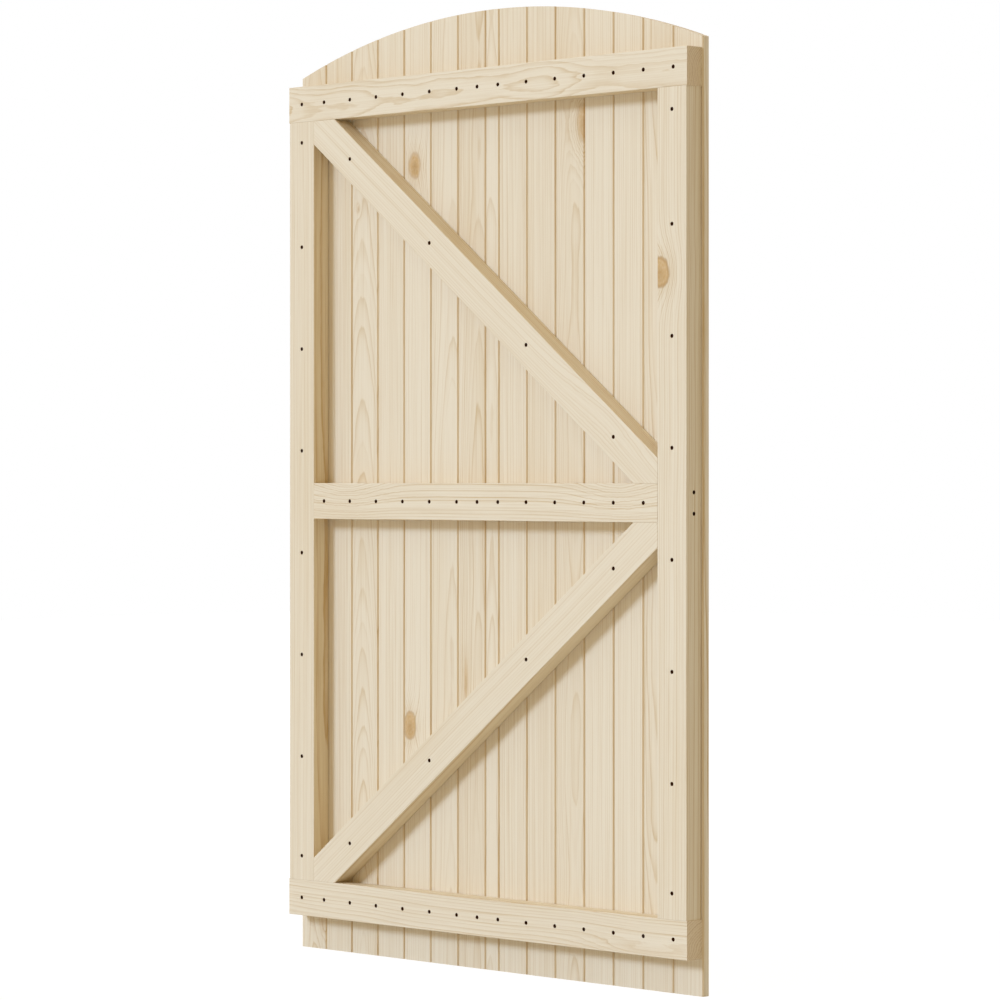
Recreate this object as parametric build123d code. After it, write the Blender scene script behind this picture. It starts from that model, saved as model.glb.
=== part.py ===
from build123d import *
import math
import os

# Arch top garden gate: one leaf of tongue and groove boards on a ledged,
# framed and braced back. Millimetres, +Z up. The framed side looks towards
# -Y and the hanging stile stands at low X. The origin lies on the front
# face of the hanging stile, level with the middle of the mid rail.

# sizes of the leaf
board_cover = 73.5         # face width that a full board shows
half_cover = 35.8          # face width of the narrow board
outer_trim = 2.4           # taken off each of the two outer boards
board_count = 15
half_board = 8             # the narrow board, counted from the hanging side
crown_height = 1800.0      # foot of the boards to the crown of the arch
shoulder_height = 1707.5   # foot of the boards to the arch at the leaf's edges
board_thickness = 18.0
frame_depth = 40.0         # thickness of rails, stiles and braces
bar_width = 70.0           # seen width of rails and stiles
brace_width = 72.0

# heights of the rails' centre lines above the foot of the boards
bottom_rail_z = 102.5
mid_rail_z = 877.5
top_rail_z = 1652.5

# the frame stays inside the boards' edges, nearer to the closing edge
rail_inset_hanging = 7.5
rail_inset_closing = 2.5
stile_step = 1.2           # the rails' ends stand this far past the stiles

# tongue and groove joint
tongue_length = 6.0
tongue_thickness = 5.0
tongue_play = 0.3          # each side of the tongue, and beyond its tip
face_gap = 0.4             # open seam between neighbouring faces
vee_framed = 2.2           # chamfer along each seam on the framed side
vee_boarded = 3.0          # wider chamfer on the boarded side
arris = 1.2                # rounded long edges on the front of the frame bars
back_arris = 3.0           # and on their back, where they leave a fine groove along the boards

# screw seats: small blind holes that take the sunk heads of the gate's own screws
seat_radius = 3.8
seat_depth = 3.0
stile_screw_pitch = 199.0  # between the six inner screws of a stile
stile_screw_middle = 876.0
top_screw_gap = 75.0       # from the top rail's centre line to a stile's last screw
bottom_screw_gap = 81.5
edge_screw_spread = 19.0   # each side of the mid rail's centre line
brace_boards = (3, 6, 10, 13)

# places worked out from the sizes
outer_cover = board_cover - outer_trim
leaf_width = (board_count - 3) * board_cover + half_cover + 2 * outer_cover
x_left = -(rail_inset_hanging + stile_step + bar_width / 2)   # boards' hanging edge
x_right = x_left + leaf_width
y_front = 0.0                                    # front face of the frame
y_back = y_front + frame_depth                   # frame's back, boards' near face
z_foot = -mid_rail_z                             # foot of the boards
z_crown = z_foot + crown_height
arch_rise = crown_height - shoulder_height
arch_radius = ((leaf_width / 2) ** 2 + arch_rise ** 2) / (2 * arch_rise)
arch_x = x_left + leaf_width / 2
arch_z = z_crown - arch_radius
rail_left = x_left + rail_inset_hanging
rail_right = x_right - rail_inset_closing
stile_left = rail_left + stile_step
stile_right = rail_right - stile_step
opening_left = stile_left + bar_width
opening_right = stile_right - bar_width
z_bottom = z_foot + bottom_rail_z
z_mid = z_foot + mid_rail_z
z_top = z_foot + top_rail_z
half_bar = bar_width / 2


def board_edges():
    """Left and right face edge of every board, from the hanging side."""
    edges = []
    x = x_left
    for i in range(1, board_count + 1):
        if i in (1, board_count):
            cover = outer_cover
        elif i == half_board:
            cover = half_cover
        else:
            cover = board_cover
        edges.append((x, x + cover))
        x += cover
    return edges


BOARDS = board_edges()
CENTRES = [(a + b) / 2 for a, b in BOARDS]


def block(x0, x1, y0, y1, z0, z1):
    """Box between two corners."""
    return Pos((x0 + x1) / 2, (y0 + y1) / 2, (z0 + z1) / 2) * Box(x1 - x0, y1 - y0, z1 - z0)


def board_profile(x0, x1, first, last):
    """Cross-section of one board: groove on its left, tongue on its right."""
    y0, y1 = y_back, y_back + board_thickness
    y_mid = (y0 + y1) / 2
    xl = x0 if first else x0 + face_gap / 2
    xr = x1 if last else x1 - face_gap / 2
    t = tongue_thickness / 2
    g = t + tongue_play
    v, w = vee_framed, vee_boarded
    pts = [(xl + v, y0), (xr - v, y0), (xr, y0 + v)]
    if not last:
        pts += [(xr, y_mid - t), (xr + tongue_length, y_mid - t),
                (xr + tongue_length, y_mid + t), (xr, y_mid + t)]
    pts += [(xr, y1 - w), (xr - w, y1), (xl + w, y1), (xl, y1 - w)]
    if not first:
        depth = tongue_length - face_gap + tongue_play
        pts += [(xl, y_mid + g), (xl + depth, y_mid + g),
                (xl + depth, y_mid - g), (xl, y_mid - g)]
    pts += [(xl, y0 + v)]
    return make_face(Polyline(*pts, close=True))


def arch_cutter():
    """Everything above the arch, as one thick plate to cut the boards with."""
    over = 60.0
    reach = leaf_width / 2 + over
    left = (arch_x - reach, arch_z + math.sqrt(arch_radius ** 2 - reach ** 2))
    right = (arch_x + reach, left[1])
    outline = ThreePointArc(left, (arch_x, z_crown), right)
    outline += Polyline(right, (right[0], z_crown + over), (left[0], z_crown + over), left)
    plate = extrude(Plane.XZ * make_face(outline), amount=-4 * board_thickness)
    return Pos(0, y_back - board_thickness, 0) * plate


def seat(x, y, z, turn):
    """Blind hole for one sunk screw head, driven along the turned axis."""
    hole = Cylinder(seat_radius, 2 * seat_depth)
    return Pos(x, y, z) * turn * hole


INTO_FACE = Rot(90, 0, 0)
INTO_EDGE = Rot(0, 90, 0)


def soften(bar, axis):
    """Round the four arrises of a bar, those that run along the given axis."""
    rows = bar.edges().filter_by(axis).group_by(Axis.Y)
    bar = fillet(rows[0], arris)
    rows = bar.edges().filter_by(axis).group_by(Axis.Y)
    return fillet(rows[-1], back_arris)


def rail(x0, x1, z):
    bar = block(x0, x1, y_front, y_back, z - half_bar, z + half_bar)
    return soften(bar, Axis.X)


def stile(x0):
    bar = block(x0, x0 + bar_width, y_front, y_back, z_bottom + half_bar, z_top - half_bar)
    return soften(bar, Axis.Z)


def brace(z_low, z_high, falls):
    """Diagonal bar from corner to corner of an opening, cut to both bars at each end."""
    z_from, z_to = (z_high, z_low) if falls else (z_low, z_high)
    run, rise = opening_right - opening_left, z_to - z_from
    slope = math.degrees(math.atan2(rise, run))
    bar = Box(math.hypot(run, rise) + 4 * brace_width, frame_depth, brace_width)
    bar = soften(bar, Axis.X)
    middle = Pos((opening_left + opening_right) / 2, (y_front + y_back) / 2, (z_low + z_high) / 2)
    bar = middle * Rot(0, -slope, 0) * bar
    return bar & block(opening_left, opening_right, y_front, y_back, z_low, z_high)


def centre_line(z_low, z_high, falls):
    """Height of a brace's centre line at a given X."""
    z_from, z_to = (z_high, z_low) if falls else (z_low, z_high)
    return lambda x: z_from + (z_to - z_from) * (x - opening_left) / (opening_right - opening_left)


# boards
os.makedirs("parts", exist_ok=True)
cutter = arch_cutter()
parts = {}
for i, (x0, x1) in enumerate(BOARDS, start=1):
    section = board_profile(x0, x1, i == 1, i == board_count)
    board = extrude(Pos(0, 0, z_foot) * section, amount=crown_height)
    parts[f"board_{i:02d}"] = board - cutter

# frame
stile_screws = [z_bottom + bottom_screw_gap]
stile_screws += [z_foot + stile_screw_middle + (k - 2.5) * stile_screw_pitch for k in range(6)]
stile_screws += [z_top - top_screw_gap]
openings = {
    "upper_brace": (z_mid + half_bar, z_top - half_bar, True),
    "lower_brace": (z_bottom + half_bar, z_mid - half_bar, False),
}
left_row = stile_left + half_bar
right_row = stile_right - half_bar
rail_row = [left_row] + CENTRES[1:-1] + [CENTRES[-1]]


def with_seats(bar, places, turn=INTO_FACE):
    for place in places:
        bar -= seat(*place, turn)
    return bar


for name, z in (("top_rail", z_top), ("bottom_rail", z_bottom)):
    row = [(x, y_front, z) for x in rail_row]
    parts[name] = with_seats(rail(rail_left, rail_right, z), row)
parts["mid_rail"] = with_seats(rail(opening_left, opening_right, z_mid),
                               [(x, y_front, z_mid) for x in CENTRES[1:-1]])

edge_rows = [z_mid - edge_screw_spread, z_mid + edge_screw_spread]
y_middle = (y_front + y_back) / 2
hanging = with_seats(stile(stile_left), [(left_row, y_front, z) for z in stile_screws])
parts["hanging_stile"] = with_seats(hanging, [(stile_left, y_middle, z) for z in edge_rows],
                                    INTO_EDGE)
closing = with_seats(stile(opening_right), [(right_row, y_front, z) for z in stile_screws])
parts["closing_stile"] = with_seats(closing, [(stile_right, y_middle, z) for z in edge_rows],
                                    INTO_EDGE)

for name, (z_low, z_high, falls) in openings.items():
    height = centre_line(z_low, z_high, falls)
    row = [(CENTRES[i - 1], y_front, height(CENTRES[i - 1])) for i in brace_boards]
    parts[name] = with_seats(brace(z_low, z_high, falls), row)

for name, solid in parts.items():
    solid.label = name
    export_step(solid, f"parts/{name}.step")
    size = solid.bounding_box()
    print(name, len(solid.solids()), round(solid.volume), size.min, size.max)
print("arch radius", round(arch_radius, 1), "outer cover", round(outer_cover, 2))
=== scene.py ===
# %% [markdown]
# # Arch top garden gate
# One leaf of fifteen upright tongue and groove boards, cut to a single arc at the top. Seven thick
# bars hold them on the framed side: three rails, two stiles and two braces. The packed solids already
# have their true shapes, so they are loaded as they are, and this script gives them their wood, adds
# the screws, and sets up the floor, the light and the camera.

# %% Load the packed solids
import math
import random

import bmesh
import bpy
from mathutils import Matrix, Vector


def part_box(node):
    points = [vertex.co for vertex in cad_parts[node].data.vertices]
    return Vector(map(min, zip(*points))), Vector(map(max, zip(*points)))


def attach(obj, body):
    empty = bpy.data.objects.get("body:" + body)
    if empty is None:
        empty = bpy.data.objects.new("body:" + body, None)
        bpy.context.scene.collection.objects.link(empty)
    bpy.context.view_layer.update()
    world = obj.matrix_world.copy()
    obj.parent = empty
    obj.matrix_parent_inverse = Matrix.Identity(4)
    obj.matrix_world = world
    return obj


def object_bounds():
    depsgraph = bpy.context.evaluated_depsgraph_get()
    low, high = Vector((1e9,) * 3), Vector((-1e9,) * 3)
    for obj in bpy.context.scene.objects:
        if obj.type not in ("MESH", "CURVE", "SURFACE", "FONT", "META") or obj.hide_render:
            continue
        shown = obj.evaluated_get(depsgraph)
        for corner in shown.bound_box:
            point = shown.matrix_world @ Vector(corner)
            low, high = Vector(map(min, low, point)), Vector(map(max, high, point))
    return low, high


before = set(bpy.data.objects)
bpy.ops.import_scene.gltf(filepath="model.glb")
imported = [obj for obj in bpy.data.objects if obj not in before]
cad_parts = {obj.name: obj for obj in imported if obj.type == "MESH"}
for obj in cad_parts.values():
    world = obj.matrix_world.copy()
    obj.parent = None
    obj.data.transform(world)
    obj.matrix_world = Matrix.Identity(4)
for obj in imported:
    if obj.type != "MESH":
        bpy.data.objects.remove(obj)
cad_box = [list(corner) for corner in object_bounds()]
scene = bpy.context.scene
print("solids", len(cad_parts), "box", cad_box)

# %% [markdown]
# ## The camera
# The photograph looks at the framed side from half way round to the closing edge, level with the mid
# rail. Lens, place and shift come from matching the screws and seams of the photograph, and a long
# lens keeps the far edge nearly as tall as the near one. The view transform is Standard, so a colour
# reaches the picture as it is.

# %% Camera
IMAGE_WIDTH = 1000
SENSOR = 36.0
FOCAL_PIXELS = 3855.87
HORIZON_ROW = 480.41

scene.view_settings.view_transform = "Standard"
lens = bpy.data.cameras.new("camera")
lens.sensor_width = SENSOR
lens.lens = FOCAL_PIXELS * SENSOR / IMAGE_WIDTH
lens.shift_y = (HORIZON_ROW - IMAGE_WIDTH / 2) / IMAGE_WIDTH
lens.clip_end = 100.0
camera = bpy.data.objects.new("camera", lens)
camera.location = (5.59365, -5.06819, 0.04016)
camera.rotation_euler = (math.radians(90), 0, math.radians(44.8786))
scene.collection.objects.link(camera)
scene.camera = camera
print("lens", round(lens.lens, 2), "shift", round(lens.shift_y, 5))

# %% [markdown]
# ## Plain soft studio light
# A lamp of the sun kind lights every height of the gate alike. The key comes from the front, a little
# from the left and from above, which is where the shadows under the rails and beside the stile say it
# is. A second lamp has a far wider angle, as a large lit ceiling has, and gives those shadows their
# long soft edge. A third is the light that a pale floor throws back up. The boarded side gets one soft
# lamp of its own. The lamps are cool and the fill from all around is warm. Together they are near white
# on a front face, which so shows its colour as written, and the fill alone leaves the shadows brown.

# %% Lamps
def sun_lamp(name, travel, strength, angle, colour):
    """A lamp whose light travels along one direction. Its angle is how wide it looks."""
    light = bpy.data.lights.new(name, "SUN")
    light.energy = strength
    light.color = colour
    light.angle = math.radians(angle)
    lamp = bpy.data.objects.new(name, light)
    lamp.rotation_euler = Vector(travel).to_track_quat("-Z", "Y").to_euler()
    scene.collection.objects.link(lamp)
    print(name, "turned to", [round(math.degrees(a)) for a in lamp.rotation_euler])


sun_lamp("key_lamp", (0.39, 1.0, -0.50), 1.90, 15, (0.575, 0.727, 1.0))
sun_lamp("ceiling_lamp", (0.50, 1.0, -1.4), 0.70, 70, (0.85, 0.93, 1.0))
sun_lamp("floor_lamp", (0.55, 1.0, 0.60), 0.42, 80, (1.0, 0.84, 0.52))
sun_lamp("back_lamp", (-0.10, -1.0, -0.5), 2.25, 25, (0.66, 0.785, 1.0))

# %% [markdown]
# ## Writing shader maths as sums
# A material is a tree of nodes. Building its maths node by node is long and hard to read, so one small
# class wraps a socket: adding or multiplying two wires adds the Math node that does it.

# %% A wire that can be summed
class Wire:
    """One output socket, which can be used in a sum."""

    def __init__(self, finish, socket):
        self.finish, self.socket = finish, socket

    def maths(self, operation, *values):
        return self.finish.node("ShaderNodeMath", {"operation": operation}, dict(enumerate(values)))

    def __add__(self, other):
        return self.maths("ADD", self, other)

    def __sub__(self, other):
        return self.maths("SUBTRACT", self, other)

    def __rsub__(self, other):
        return self.maths("SUBTRACT", other, self)

    def __mul__(self, other):
        return self.maths("MULTIPLY", self, other)

    def __truediv__(self, other):
        return self.maths("DIVIDE", self, other)

    def __pow__(self, other):
        return self.maths("POWER", self, other)

    __radd__, __rmul__ = __add__, __mul__


print("a wire knows + - * / and **")

# %% [markdown]
# ## A finish is a tree of nodes
# Every node comes from the one method `node`, which takes the node's type, its settings, and what goes
# into its sockets. The other methods are the three that wood needs all the time: a soft step, a blend
# of two colours, and a noise that can be stretched along the grain.

# %% A finish and its nodes
class Finish:
    """A node tree, and the one method that adds a node to it."""

    def __init__(self, owner):
        owner.use_nodes = True
        self.tree = owner.node_tree

    def node(self, kind, settings=None, sockets=None, output=0):
        """Settings are set first, then each socket gets a plain value or a wire."""
        made = self.tree.nodes.new(kind)
        for name, value in (settings or {}).items():
            setattr(made, name, value)
        for name, value in (sockets or {}).items():
            self.feed(made.inputs[name], value)
        return Wire(self, made.outputs[output]) if made.outputs else None

    def feed(self, socket, value):
        if isinstance(value, Wire):
            self.tree.links.new(value.socket, socket)
        else:
            socket.default_value = value

    def smooth(self, value, low, high):
        """0 below low, 1 above high, and a soft step between them."""
        return self.node("ShaderNodeMapRange", {"interpolation_type": "SMOOTHSTEP"},
                         {0: value, 1: low, 2: high, 3: 0.0, 4: 1.0})

    def blend(self, share, colour_a, colour_b):
        return self.node("ShaderNodeMix", {"data_type": "RGBA"},
                         {0: share, 6: colour_a, 7: colour_b}, output=2)

    def noise(self, place, stretch, seed, detail=2.0, roughness=0.5):
        """Soft random values about 0.5, with its own stretch along each axis."""
        offset = (seed * 7.31 % 97, seed * 3.17 % 89, seed * 5.71 % 83)
        moved = self.node("ShaderNodeVectorMath", {"operation": "MULTIPLY_ADD"},
                          {0: place, 1: stretch, 2: offset})
        return self.node("ShaderNodeTexNoise", {"noise_dimensions": "3D"},
                         {"Vector": moved, "Scale": 1.0, "Detail": detail, "Roughness": roughness})


print("a finish can", [name for name in vars(Finish) if not name.startswith("_")])

# %% [markdown]
# ## Colours as written, and white that lights nothing
# Colours are easiest to judge as a paint program writes them, while a shader wants them linear. The
# white round the gate is only for rays that show the thing itself, in the camera or in a gloss. If the
# rays that carry light met that white too, the wood would wash out.

# %% Colours and rays
def seen_rays(finish):
    """1 for the rays that show the thing itself, and 0 for those that carry light."""
    camera_ray, glossy_ray, clear_ray = (finish.node("ShaderNodeLightPath", output=kind) for kind in
                                         ("Is Camera Ray", "Is Glossy Ray", "Is Transmission Ray"))
    return camera_ray.maths("MINIMUM", camera_ray + glossy_ray + clear_ray, 1.0)


def colour(red, green, blue):
    """A colour as a paint program writes it, 0 to 255, made linear for the shader."""
    def linear(part):
        part /= 255
        return part / 12.92 if part <= 0.04045 else ((part + 0.055) / 1.055) ** 2.4
    return (linear(red), linear(green), linear(blue), 1.0)


print("mid grey in the shader", [round(part, 3) for part in colour(128, 128, 128)])

# %% [markdown]
# ## The world
# The fill is the same from all around, a little warm as in a room with pale walls. A Light Path node
# tells the camera's own rays from the rest, so the background stays white and no light is added.

# %% World
WHITE = (1.0, 1.0, 1.0, 1.0)
FILL_COLOUR = (1.0, 0.745, 0.33, 1.0)
FILL_STRENGTH = 0.46

world = bpy.data.worlds.new("studio")
scene.world = world
air = Finish(world)
air.tree.nodes.clear()
fill = air.node("ShaderNodeBackground", sockets={"Color": FILL_COLOUR, "Strength": FILL_STRENGTH})
white = air.node("ShaderNodeBackground", sockets={"Color": WHITE, "Strength": 1.0})
either = air.node("ShaderNodeMixShader", sockets={0: seen_rays(air), 1: fill, 2: white})
air.node("ShaderNodeOutputWorld", sockets={"Surface": either})
print("world nodes", len(air.tree.nodes))

# %% [markdown]
# ## The floor
# The leaf stands on a pale floor at the foot of its boards. The floor is mostly white to the camera,
# as in a studio, and the rest of its colour takes the light, so that the gate's shadow shows on it.

# %% Floor
FLOOR_SIZE = 30.0
FLOOR_MIDDLE = 0.5
FLOOR_COLOUR = (0.72, 0.72, 0.71, 1.0)
GLOW_STRENGTH = 1.20
GLOW_SHARE = 0.74

foot = cad_box[0][2]
sheet = bmesh.new()
bmesh.ops.create_grid(sheet, x_segments=1, y_segments=1, size=FLOOR_SIZE / 2,
                      matrix=Matrix.Translation((FLOOR_MIDDLE, 0.0, foot)))
floor_mesh = bpy.data.meshes.new("floor")
sheet.to_mesh(floor_mesh)
sheet.free()
floor = bpy.data.objects.new("floor", floor_mesh)
scene.collection.objects.link(floor)
floor_paint = bpy.data.materials.new("pale_floor")
paint = Finish(floor_paint)
paint.tree.nodes.clear()
lit = paint.node("ShaderNodeBsdfDiffuse", sockets={"Color": FLOOR_COLOUR})
glow = paint.node("ShaderNodeEmission", sockets={"Color": WHITE, "Strength": GLOW_STRENGTH})
either = paint.node("ShaderNodeMixShader", sockets={0: seen_rays(paint) * GLOW_SHARE, 1: lit, 2: glow})
paint.node("ShaderNodeOutputMaterial", sockets={"Surface": either})
floor_mesh.materials.append(floor_paint)
print("floor at", round(foot, 4))

# %% [markdown]
# ## Pine, from the tree outwards
# Planed pine shows the growth rings of the trunk it was sawn from. Instead of drawing lines on each
# face, the material works out how far every point of the piece is from the trunk's heart, a line that
# runs nearly along the piece. Rings of that distance then give straight grain where the heart lies to
# the side, arches where it lies behind the face, and rings on the sawn ends, and all of them meet at
# the corners of the piece as in real wood. Noises make the rings uneven. Each is given by how many
# times it changes in a metre: across the face, through the piece and along the grain.

# %% Growth rings
CREAM = colour(232, 219, 195)
TAN = colour(202, 173, 127)
WAVES = (22.0, 22.0, 2.6)
RIPPLES = (75.0, 75.0, 11.0)
YEARS_ALIKE = 0.60
SLOW = 0.01


def grain_place(wood, centre, turn):
    """Coordinates of one piece: x across its face, y through it and z along its grain."""
    place = wood.node("ShaderNodeTexCoord", output="Object")
    return wood.node("ShaderNodeMapping", {"vector_type": "TEXTURE"},
                     {"Vector": place, "Location": centre, "Rotation": (0.0, turn, 0.0)})


def heart_distance(wood, place, across, depth, run, heart, lean, wander, seed):
    """Distance to the trunk's heart line, which leans and wanders as it goes up."""
    amount, rate = wander
    sway = wood.noise(place, (SLOW, SLOW, rate), seed + 1, detail=1.5) - 0.5
    swing = wood.noise(place, (SLOW, SLOW, rate * 1.4), seed + 2, detail=1.5) - 0.5
    side = across - run * lean[0] - sway * amount - heart[0]
    deep = depth - run * lean[1] - swing * amount - heart[1]
    return (side * side + deep * deep) ** 0.5


def ring_tone(wood, place, distance, ring, loose, late_wood, seed):
    """How dark each ring is: pale early wood that deepens, then stops at a sharp line."""
    waves = wood.noise(place, WAVES, seed + 3, detail=2.0) - 0.5
    ripples = wood.noise(place, RIPPLES, seed + 4, detail=3.0, roughness=0.6) - 0.5
    count = (distance + waves * loose + ripples * (loose * 0.5)) / ring
    step = count.maths("FRACT", count)
    late = step ** late_wood * (1.0 - wood.smooth(step, 0.88, 1.0)) * 1.35
    years = wood.node("ShaderNodeTexNoise", {"noise_dimensions": "1D"},
                      {"W": count * YEARS_ALIKE + seed % 50, "Scale": 1.0, "Detail": 2.0})
    return late * wood.smooth(years, 0.25, 0.70), years


print("cream", [round(part, 2) for part in CREAM[:3]], "tan", [round(part, 2) for part in TAN[:3]])

# %% [markdown]
# ## Knots
# A knot is the foot of a branch. It goes through the board, has rings of its own, a darker rim, and
# the rings of the trunk flow round it. Each knot here has the place and the size that it has in the
# photograph, and pushes the distance to the heart outwards, which bends the rings. A loose knot has a
# crisp rim, and a grown-in one only a soft stain that is darkest low down. A knot is written as eight
# numbers: its place across and along the grain, half its width, half its height, its slant through
# the piece, how far it bends the rings, its strength and its crispness. Strength 0 bends the rings only.

# %% One knot
KNOT_HEART = colour(203, 166, 112)
KNOT_RIM = colour(163, 121, 62)
RAGS = (90.0, 40.0, 45.0)
MOTTLES = (320.0, 320.0, 170.0)
KNOT_RINGS = 24.0


def knot_field(wood, place, across, depth, run, knot, seed):
    """1 at the edge of one knot, less inside it, more outside it, and how low down that is."""
    x, z, half_width, half_height, slant, _, _, crisp = knot
    ragged = wood.noise(place, RAGS, seed, detail=3.0) - 0.5
    sideways = (across + depth * slant - x) / half_width
    upwards = (run - z) / half_height
    field = (sideways * sideways + upwards * upwards) ** 0.5 + ragged * (0.60 - 0.35 * crisp)
    return field, upwards


print("knot heart", [round(part, 2) for part in KNOT_HEART[:3]])

# %% [markdown]
# A knot acts twice. First its push is added to the distance, before the rings are drawn, so that they
# flow round it. Then its own colours are laid over the board: a pale halo, a body with fine rings and
# mottling, a dark core low down, and a rim that is as sharp as the knot is loose.

# %% Rings and stains round knots
def bend_round_knots(wood, place, across, depth, run, distance, knots, seed):
    """The distance with every knot's push in it, each knot's field, and how near a knot is."""
    fields, near = [], 0.0
    for number, knot in enumerate(knots):
        push, strength = knot[5:7]
        field, upwards = knot_field(wood, place, across, depth, run, knot, seed + 20 + number)
        distance = distance + field.maths("EXPONENT", field * field * -0.30) * push
        near = (1.0 - wood.smooth(field, 1.0, 2.8)) * strength + near
        fields.append((field, upwards))
    return distance, fields, near


def stain_knots(wood, place, base, knots, fields, seed):
    """Base colour with each visible knot's halo, body, dark core and rim in it."""
    for knot, (field, upwards) in zip(knots, fields):
        strength, crisp = knot[6:]
        if not strength:
            continue
        inner = 1.0 - wood.smooth(field, 0.42 + 0.44 * crisp, 1.22 - 0.14 * crisp)
        rim = wood.smooth(field, 0.72, 0.92) * (1.0 - wood.smooth(field, 0.95, 1.08))
        halo = 1.0 - wood.smooth(field, 0.8, 2.0)
        core = 1.0 - wood.smooth(field + upwards * 0.45, 0.05, 0.70)
        mottle = wood.noise(place, MOTTLES, seed + 9, detail=2.0) - 0.5
        turns = (field * KNOT_RINGS).maths("SINE", field * KNOT_RINGS)
        body = turns * (0.10 * crisp) + mottle * 0.9 + 0.95
        base = wood.blend(halo * (0.20 * strength), base, TAN)
        base = wood.blend(inner * body * (0.88 * strength), base, KNOT_HEART)
        base = wood.blend(core * ((0.42 - 0.15 * crisp) * strength), base, KNOT_RIM)
        base = wood.blend(rim * (0.50 * crisp * strength), base, KNOT_RIM)
    return base


print("knot rim", [round(part, 2) for part in KNOT_RIM[:3]])

# %% [markdown]
# ## Tints of the sides, seams and ends, partly painted light
# The narrow sides of the bars get a warmer tint, which is painted light: the warm light that the boards
# throw into the recesses. Faces that look up get less of it, so their tops are painted lighter. The
# sloped walls of a seam are darker, which is painted shade in the groove, and sawn ends drink the most
# light. Each tint multiplies the wood's own colour, so the grain still shows through. Four more noises
# give streaks, fibres, clouds and fine lines.

# %% Shades and noises
GOLD = colour(217, 194, 152)
END_SHADE = colour(199, 176, 150)
# Side tint: painted warm bounce light on the sides of the bars. The pale one, without it, is for sides that
# face open air.
SIDE_PAINTED_BOUNCE = (1.0, 0.97, 0.88, 1.0)
SIDES_WITHOUT_PAINTED_BOUNCE = (0.99, 1.0, 1.0, 1.0)
# Painted shade for the sloped walls of a seam's V.
SEAM_PAINTED_SHADE = (0.92, 0.83, 0.68, 1.0)
STREAKS = (230.0, 230.0, 3.0)
FIBRES = (1300.0, 1300.0, 24.0)
CLOUDS = (9.0, 9.0, 1.1)
LINES = (520.0, 520.0, 5.0)
FULL_DEPTH = 0.0004
GLOSS = 0.25


def tinted(wood, base, share, shade):
    """Base colour multiplied by a shade, as far as share says."""
    mix = {"data_type": "RGBA", "blend_type": "MULTIPLY"}
    return wood.node("ShaderNodeMix", mix, {0: share, 6: base, 7: shade}, output=2)


print("bump depth", FULL_DEPTH)

# %% [markdown]
# ## Putting the wood together
# Colour runs from cream to tan with the rings, with soft streaks and a change of tint from piece to
# piece. Late wood is a little smoother than early wood, and fibres and rings stand up by hundredths of
# a millimetre, which a Bump node shows. A picture of wood would repeat and stretch, and this has no
# seams at the corners, because every point is asked for its own place in the trunk.

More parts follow.
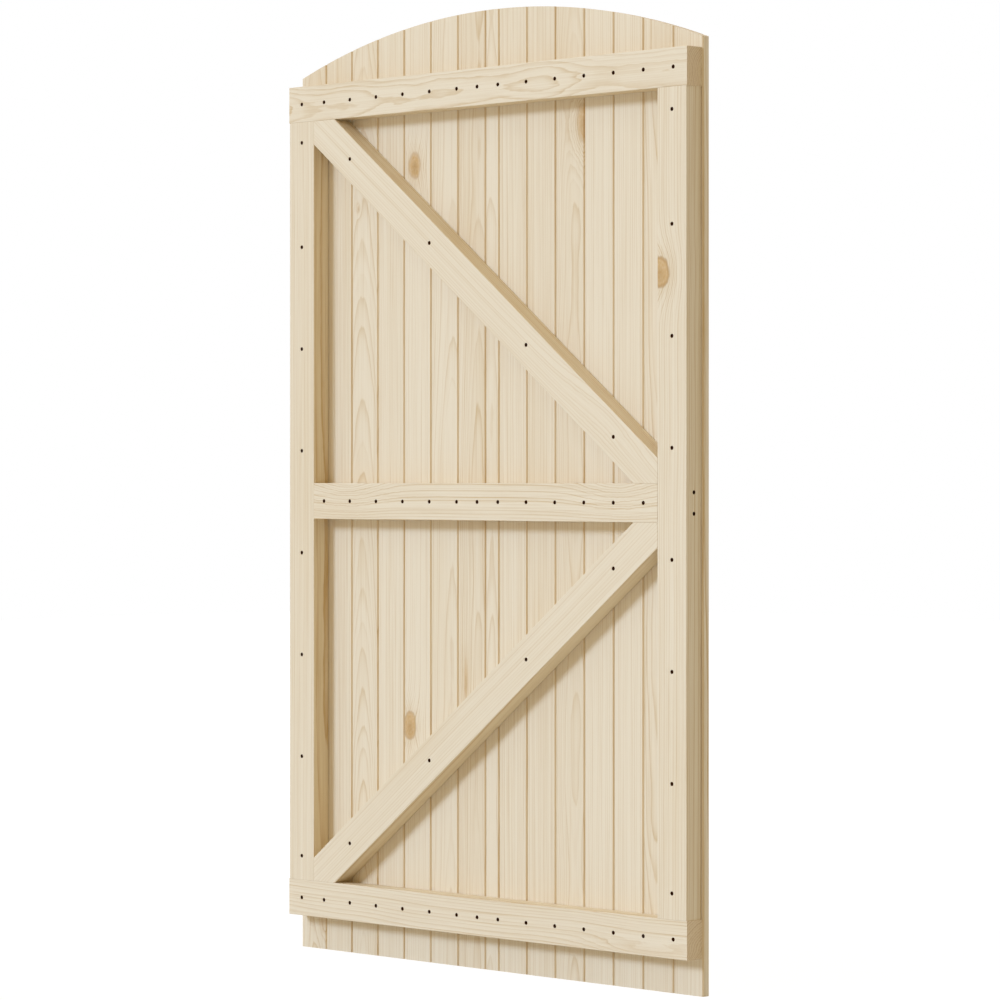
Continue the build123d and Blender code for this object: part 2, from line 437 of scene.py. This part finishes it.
# %% Pine material
def pine(name, centre, turn, heart, lean, ring, seed, wander=(0.012, 1.6), loose=0.003, contrast=0.65,
         late_wood=3.5, tint=0.0, knots=(), seams=0.0, sides=SIDE_PAINTED_BOUNCE):
    """One material for one piece of pine."""
    material = bpy.data.materials.new(name)
    wood = Finish(material)
    place = grain_place(wood, centre, turn)
    across, depth, run = (wood.node("ShaderNodeSeparateXYZ", sockets={0: place}, output=part)
                          for part in range(3))
    distance = heart_distance(wood, place, across, depth, run, heart, lean, wander, seed)
    distance, fields, near = bend_round_knots(wood, place, across, depth, run, distance, knots, seed)
    rings, years = ring_tone(wood, place, distance, ring, loose, late_wood, seed)
    streaks = wood.noise(place, STREAKS, seed + 5, detail=3.0, roughness=0.65)
    fibres = wood.noise(place, FIBRES, seed + 6, detail=2.0)
    clouds = wood.noise(place, CLOUDS, seed + 7, detail=2.0)
    lines = wood.noise(place, LINES, seed + 8, detail=1.5)
    facing = wood.node("ShaderNodeTexCoord", output="Normal")
    outward = wood.node("ShaderNodeSeparateXYZ", sockets={0: facing}, output=1)
    outward = outward.maths("ABSOLUTE", outward)
    upward = wood.node("ShaderNodeSeparateXYZ", sockets={0: facing}, output=2)
    side = 1.0 - wood.smooth(outward, 0.30, 0.95)
    figure = rings * 0.95 + wood.smooth(streaks, 0.45, 0.85) * 0.45 + (lines - 0.5) * 0.80
    dark = figure * (side * 0.5 + contrast + near * 0.55) + (fibres - 0.5) * 0.14 + (clouds - 0.5) * 0.18 \
        + (years - 0.5) * 0.16 + (tint + 0.04)
    base = wood.blend(dark.maths("MAXIMUM", dark, 0.0), CREAM, TAN)
    base = wood.blend(wood.smooth(clouds, 0.52, 0.85) * 0.30, base, GOLD)
    base = stain_knots(wood, place, base, knots, fields, seed)
    # The sides take the side tint, which is painted warm bounce light. Faces that look up take less of it,
    # which paints their tops lighter.
    base = tinted(wood, base, side * (1.0 - wood.smooth(upward, 0.3, 0.9) * 0.6), sides)
    # The sloped walls of each V groove are darkened, which is painted shade in the groove.
    if seams:
        slope = wood.smooth(outward, 0.45, 0.65) * (1.0 - wood.smooth(outward, 0.76, 0.94))
        base = tinted(wood, base, slope * seams, SEAM_PAINTED_SHADE)
    grain_way = (math.sin(turn), 0.0, math.cos(turn))
    straight = wood.node("ShaderNodeVectorMath", {"operation": "DOT_PRODUCT"},
                         {0: facing, 1: grain_way}, output="Value")
    end = wood.smooth(straight.maths("ABSOLUTE", straight), 0.80, 0.97)
    base = wood.blend(end * (0.30 + rings * 0.45), base, END_SHADE)
    rough = 0.66 - rings * 0.12 + (fibres - 0.5) * 0.10 + end * 0.12
    relief = rings * -0.5 + fibres * 0.6 + streaks * 0.3
    bump = wood.node("ShaderNodeBump", sockets={"Strength": 0.35, "Distance": FULL_DEPTH,
                                                "Height": relief})
    skin = wood.tree.nodes["Principled BSDF"]
    wood.feed(skin.inputs["Base Color"], base)
    wood.feed(skin.inputs["Roughness"], rough)
    wood.feed(skin.inputs["Normal"], bump)
    skin.inputs["Specular IOR Level"].default_value = GLOSS
    return material


print("pine is ready, with a gloss of", GLOSS)

# %% [markdown]
# ## Dressing a solid
# Each solid gets its own material. It is centred on the middle of the solid's box, so that hearts and
# knots are given from there, and the solid itself stays as it was packed.

# %% Dress one solid
def dress(node, turn, **grain):
    """Give one solid its own pine, centred on it and turned to its grain."""
    low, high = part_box(node)
    centre = (low + high) / 2
    finish = pine(node + "_pine", tuple(centre), turn, **grain)
    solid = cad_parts[node]
    solid.data.materials.clear()
    solid.data.materials.append(finish)
    return centre


print("solids to dress", sorted(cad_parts)[:3], "and", len(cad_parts) - 3, "more")

# %% [markdown]
# ## The boards
# Fifteen boards stand side by side, joined by a tongue and a groove, with a small V along each seam.
# Each comes from another tree, so heart, lean, ring width and tint are drawn from a seeded generator,
# which gives the same boards each time. What the photograph shows clearly is given one by one: the knots
# and the boards with arched grain.

# %% Boards
UPRIGHT = 0.0
BOARD_KNOTS = {
    1: [(0.020, -0.810, 0.012, 0.030, 0.2, 0.014, 0.25, 0.0)],
    3: [(-0.022, 0.56, 0.004, 0.008, 0.1, 0.004, 0.5, 0.0)],
    5: [(-0.013, 0.6236, 0.017, 0.027, 0.3, 0.014, 1.0, 0.4),
        (-0.0255, -0.447, 0.017, 0.028, 0.2, 0.014, 1.0, 0.6)],
    6: [(0.027, -0.450, 0.005, 0.011, 0.1, 0.008, 0.4, 0.0)],
    7: [(-0.019, -0.3595, 0.006, 0.042, 0.1, 0.003, 0.55, 0.0)],
    11: [(0.0355, 0.678, 0.019, 0.038, -0.2, 0.026, 0.8, 0.4)],
}
BOARD_HEARTS = {
    1: ((0.005, 0.045), (0.0, 0.020), (0.020, 2.0)),
    3: ((-0.009, 0.060), (0.0, 0.046), (0.010, 3.0)),
    6: ((0.018, 0.050), (0.004, 0.014), (0.016, 1.6)),
    7: ((0.014, 0.044), (0.004, 0.012), (0.018, 1.8)),
    8: ((-0.004, 0.034), (0.002, 0.014), (0.018, 2.2)),
    11: ((0.010, 0.040), (0.0, 0.006), (0.028, 2.0)),
    14: ((0.000, 0.050), (0.004, -0.020), (0.016, 1.8)),
}
BOARD_TINTS = {4: -0.04, 5: -0.10, 7: 0.07, 9: -0.03, 11: 0.06, 12: -0.06, 14: 0.04}

trees = random.Random(31)
for number in range(1, 16):
    far_heart = (trees.choice((-1, 1)) * trees.uniform(0.06, 0.12), trees.uniform(-0.03, 0.05))
    far_lean = (trees.uniform(-0.008, 0.008), trees.uniform(-0.015, 0.015))
    heart, lean, wander = BOARD_HEARTS.get(number, (far_heart, far_lean, (0.010, 1.6)))
    # Board edges take the pale side tint, without the painted warm bounce.
    centre = dress(f"board_{number:02d}", UPRIGHT, heart=heart, lean=lean, wander=wander,
                   ring=trees.uniform(0.0028, 0.0044), seed=100 + 37 * number,
                   contrast=trees.uniform(0.52, 0.80),
                   tint=BOARD_TINTS.get(number, trees.uniform(-0.04, 0.04)),
                   knots=BOARD_KNOTS.get(number, ()), seams=1.0, sides=SIDES_WITHOUT_PAINTED_BOUNCE)
    print("board", number, "middle", [round(part, 4) for part in centre])

# %% [markdown]
# ## The frame
# Three rails lie across the boards, two stiles stand at their ends, and a brace in each opening keeps
# the leaf from sagging. Grain always runs along a bar. The same material serves them all, turned about
# the axis that goes through the gate.

# %% Frame bars
LYING = math.radians(90)
OPENING_HEIGHT, OPENING_WIDTH = 0.705, 0.9076
BRACE_SLOPE = math.atan2(OPENING_HEIGHT, OPENING_WIDTH)
BARS = {
    "top_rail": (LYING, dict(heart=(0.006, 0.046), lean=(0.004, 0.012), ring=0.0042, seed=811,
                             wander=(0.034, 2.2), loose=0.008, late_wood=2.2, tint=-0.04)),
    "mid_rail": (LYING, dict(heart=(0.095, 0.020), lean=(0.0, 0.010), ring=0.0056, seed=823,
                             wander=(0.010, 2.0), contrast=0.9,
                             knots=[(-0.042, 0.355, 0.026, 0.050, 0.2, 0.026, 0.0, 0.0),
                                    (-0.042, -0.360, 0.026, 0.055, 0.2, 0.030, 0.0, 0.0)])),
    "bottom_rail": (LYING, dict(heart=(0.070, 0.050), lean=(0.006, 0.004), ring=0.0046, seed=835,
                                wander=(0.014, 2.4), contrast=0.75,
                                knots=[(0.026, 0.440, 0.008, 0.100, 0.0, 0.012, 0.12, 0.0)])),
    "hanging_stile": (UPRIGHT, dict(heart=(-0.080, 0.020), lean=(0.004, 0.004), ring=0.0040, seed=847)),
    "closing_stile": (UPRIGHT, dict(heart=(0.070, 0.050), lean=(-0.006, 0.008), ring=0.0044, seed=859,
                                    # Its outer side faces open air and takes no painted warm bounce.
                                    sides=SIDES_WITHOUT_PAINTED_BOUNCE,
                                    knots=[(-0.036, 0.411, 0.0245, 0.0285, 0.3, 0.028, 1.0, 0.85)])),
    "upper_brace": (LYING + BRACE_SLOPE, dict(heart=(-0.070, 0.040), lean=(0.006, 0.010), ring=0.0040,
                                              seed=871, wander=(0.010, 1.8), loose=0.002, contrast=0.45,
                                              knots=[(-0.024, 0.400, 0.022, 0.060, 0.2, 0.012, 0.0, 0.0)])),
    "lower_brace": (LYING - BRACE_SLOPE, dict(heart=(-0.090, 0.030), lean=(0.002, 0.003), ring=0.0050,
                                              seed=883, contrast=0.45)),
}
for name, (turn, grain) in BARS.items():
    centre = dress(name, turn, **grain)
    print(name, [round(part, 4) for part in centre])

# %% [markdown]
# ## The screws
# Every board is screwed to every rail that it crosses. The heads are small and sunk just below the
# face, and their coated steel reads as a very dark brown. It has hardly any gloss, and a fine noise
# breaks its colour up.

# %% Screw steel
steel = bpy.data.materials.new("dark_coated_steel")
coat = Finish(steel)
place = coat.node("ShaderNodeTexCoord", output="Object")
wear = coat.noise(place, (900.0, 900.0, 900.0), 11, detail=3.0)
rub = coat.noise(place, (2600.0, 2600.0, 2600.0), 12, detail=2.0)
skin = coat.tree.nodes["Principled BSDF"]
coat.feed(skin.inputs["Base Color"],
          coat.blend(coat.smooth(wear, 0.45, 0.75), colour(42, 15, 0), colour(74, 38, 13)))
coat.feed(skin.inputs["Roughness"], 0.45 + wear * 0.25)
coat.feed(skin.inputs["Normal"], coat.node("ShaderNodeBump", sockets={
    "Strength": 0.3, "Distance": 0.00005, "Height": rub}))
skin.inputs["Specular IOR Level"].default_value = 0.04
print("steel nodes", len(coat.tree.nodes))

# %% [markdown]
# A head is a shallow dish with a cross recess. It could be cut out of a cylinder with booleans, but
# bridging rings of vertices gives a clean closed mesh: the foot, the edge, the top, the outline of the
# cross, and the same cross again, smaller and lower.

# %% One screw head
HEAD_RADIUS = 0.00377
HEAD_SUNK = 0.0003
HEAD_BOTTOM = 0.0028
HEAD_EDGE = 0.0004
RECESS_DEPTH = 0.0015
CROSS_TIPS, CROSS_CORNERS = 0.0019, 0.0008
LOW_TIPS, LOW_CORNERS = 0.0010, 0.0004


def circle(head, segments, radius, depth, turn=0.0):
    """A ring of vertices, at that depth below the bar's face."""
    place = Matrix.Translation((0, 0, -depth)) @ Matrix.Rotation(turn, 4, "Z")
    return bmesh.ops.create_circle(head, segments=segments, radius=radius, matrix=place)["verts"]


def ring_edges(vertices):
    return list({edge for vertex in vertices for edge in vertex.link_edges
                 if all(end in vertices for end in edge.verts)})


def screw_head():
    """One head, standing at the origin and looking along +Z."""
    head = bmesh.new()
    rings = [circle(head, 24, HEAD_RADIUS * 0.55, HEAD_BOTTOM),
             circle(head, 24, HEAD_RADIUS, HEAD_SUNK + HEAD_EDGE),
             circle(head, 24, HEAD_RADIUS * 0.95, HEAD_SUNK)]
    cross = circle(head, 12, CROSS_TIPS, HEAD_SUNK, math.radians(45))
    low_cross = circle(head, 12, LOW_TIPS, HEAD_SUNK + RECESS_DEPTH, math.radians(45))
    for loop, inner in ((cross, CROSS_CORNERS), (low_cross, LOW_CORNERS)):
        for corner in loop[::3]:
            flat = Vector((corner.co.x, corner.co.y)).normalized() * inner
            corner.co.x, corner.co.y = flat
    rings += [cross, low_cross]
    for lower, upper in zip(rings, rings[1:]):
        bmesh.ops.bridge_loops(head, edges=ring_edges(lower) + ring_edges(upper))
    for loop in (rings[0], rings[-1]):
        bmesh.ops.contextual_create(head, geom=ring_edges(loop))
    bmesh.ops.recalc_face_normals(head, faces=head.faces)
    return head


head = screw_head()
print("faces on one head", len(head.faces), "closed", all(e.is_manifold for e in head.edges))
head.free()

# %% [markdown]
# A row of screws is one piece. Each head is turned so that it looks out of its bar, and twisted by
# its own angle, because no two screws stop at the same turn.

# %% Rows of screws
COVER, HALF_COVER, OUTER_COVER = 0.0735, 0.0358, 0.0711
HALF_BOARD = 8
LEAF_LEFT = cad_box[0][0]
RAIL_HEIGHT = 0.775
STILE_X = (0.0, 0.9776)
STILE_HEIGHTS = [-0.6935] + [-0.0015 + (step - 2.5) * 0.199 for step in range(6)] + [0.700]
BRACE_BOARDS = (3, 6, 10, 13)
BRACE_X = (0.035, 0.9426)
BRACE_HEIGHTS = {"upper_brace": (0.740, 0.035), "lower_brace": (-0.740, -0.035)}
EDGE_X = (-0.035, 1.0126)
EDGE_HEIGHTS = (-0.019, 0.019)
BAR_MIDDLE = 0.020
OUT_OF_FACE = Matrix.Rotation(math.radians(90), 4, "X")
OUT_OF_LEFT = Matrix.Rotation(math.radians(-90), 4, "Y")
OUT_OF_RIGHT = Matrix.Rotation(math.radians(90), 4, "Y")


def board_middles():
    """Middle of each board's face, from the hanging side."""
    covers = [HALF_COVER if number == HALF_BOARD else COVER for number in range(1, 16)]
    covers[0] = covers[-1] = OUTER_COVER
    return [LEAF_LEFT + sum(covers[:number]) + covers[number] / 2 for number in range(15)]


def screw_row(name, spots, twists):
    """One piece with a head at each spot. A spot is a place and the way the head looks."""
    head = screw_head()
    pattern = bpy.data.meshes.new("screw_pattern")
    head.to_mesh(pattern)
    head.free()
    row = bmesh.new()
    for place, way in spots:
        count = len(row.verts)
        row.from_mesh(pattern)
        twist = Matrix.Rotation(twists.uniform(0, math.pi / 2), 4, "Z")
        bmesh.ops.transform(row, matrix=Matrix.Translation(place) @ way @ twist,
                            verts=list(row.verts)[count:])
    mesh = bpy.data.meshes.new(name)
    row.to_mesh(mesh)
    row.free()
    bpy.data.meshes.remove(pattern)
    mesh.materials.append(steel)
    piece = bpy.data.objects.new(name, mesh)
    scene.collection.objects.link(piece)
    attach(piece, "root")
    print(name, len(spots), "heads", len(mesh.polygons), "faces")


middles = board_middles()
twists = random.Random(8)
for rail, height in (("top_rail", RAIL_HEIGHT), ("bottom_rail", -RAIL_HEIGHT)):
    screw_row(rail + "_screws", [((x, 0, height), OUT_OF_FACE) for x in [0.0] + middles[1:]], twists)
screw_row("mid_rail_screws", [((x, 0, 0), OUT_OF_FACE) for x in middles[1:-1]], twists)
for number, (stile, way) in enumerate((("hanging_stile", OUT_OF_LEFT), ("closing_stile", OUT_OF_RIGHT))):
    spots = [((STILE_X[number], 0, height), OUT_OF_FACE) for height in STILE_HEIGHTS]
    spots += [((EDGE_X[number], BAR_MIDDLE, height), way) for height in EDGE_HEIGHTS]
    screw_row(stile + "_screws", spots, twists)
for name, (start, end) in BRACE_HEIGHTS.items():
    shares = [(middles[number - 1] - BRACE_X[0]) / (BRACE_X[1] - BRACE_X[0]) for number in BRACE_BOARDS]
    screw_row(name + "_screws", [((BRACE_X[0] + share * (BRACE_X[1] - BRACE_X[0]), 0,
                                   start + share * (end - start)), OUT_OF_FACE) for share in shares],
              twists)

# %% [markdown]
# ## Sizes
# The box of the solids is printed when they are loaded, at the top of the script. The dressed gate
# has to stay inside the box of its solids.
